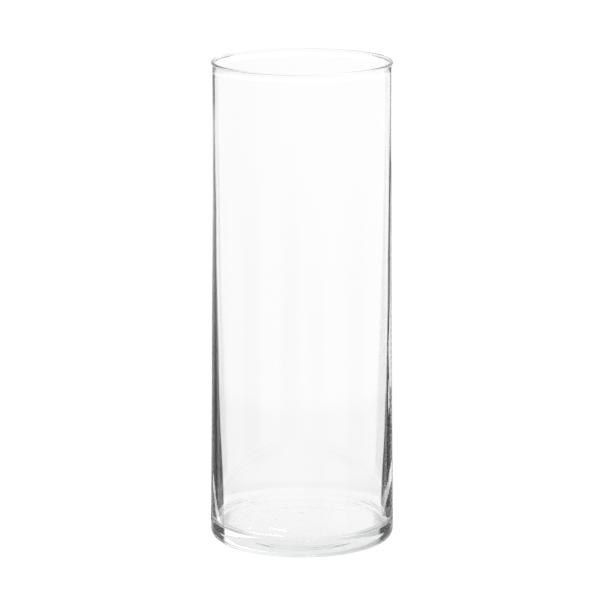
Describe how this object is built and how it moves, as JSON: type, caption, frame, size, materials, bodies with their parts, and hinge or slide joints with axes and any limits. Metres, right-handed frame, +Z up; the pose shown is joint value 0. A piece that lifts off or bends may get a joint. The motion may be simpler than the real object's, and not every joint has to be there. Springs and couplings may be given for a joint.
{
  "type": "glass cylinder vase",
  "caption": "Tall clear glass cylinder vase with a fire-polished lip, a thick base with a slightly hollow underside and a wall that tapers slightly.",
  "frame": {"origin": "centre of the foot ring, on the table plane", "axes": "+Z up along the vase's axis, out of the mouth; -Y is the front, but the vase is the same all round"},
  "size_m": [0.1022, 0.1022, 0.267],
  "materials": {
    "clear_glass": "glossy"
  },
  "bodies": {
    "root": {"vase_body": "clear_glass"}
  },
  "joints": []
}
